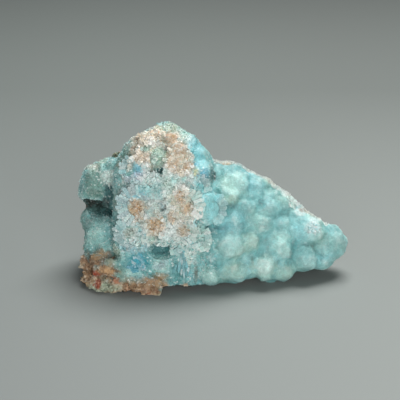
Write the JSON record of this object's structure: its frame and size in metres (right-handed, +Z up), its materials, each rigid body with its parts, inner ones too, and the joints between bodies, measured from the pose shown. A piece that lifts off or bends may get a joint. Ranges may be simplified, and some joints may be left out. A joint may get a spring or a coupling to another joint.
{
  "type": "hemimorphite specimen",
  "caption": "Natural blue-green botryoidal hemimorphite hand specimen with a broken crystalline knob and tan matrix, lying flat for display.",
  "frame": {"origin": "on the table, under the middle of the stone's outline as seen from above", "axes": "+X along the stone's long side, from the high knob towards the low pointed end; -Y is the side of the grape-like face and the broken knob; +Z is up from the face that it rests on"},
  "size_m": [0.0664, 0.0302, 0.0384],
  "materials": {
    "hemimorphite": "waxy blue-green botryoidal crust with white radiating blades, tan cores and rough tan, rust-stained matrix"
  },
  "bodies": {
    "root": {"hemimorphite": "hemimorphite"}
  },
  "joints": []
}
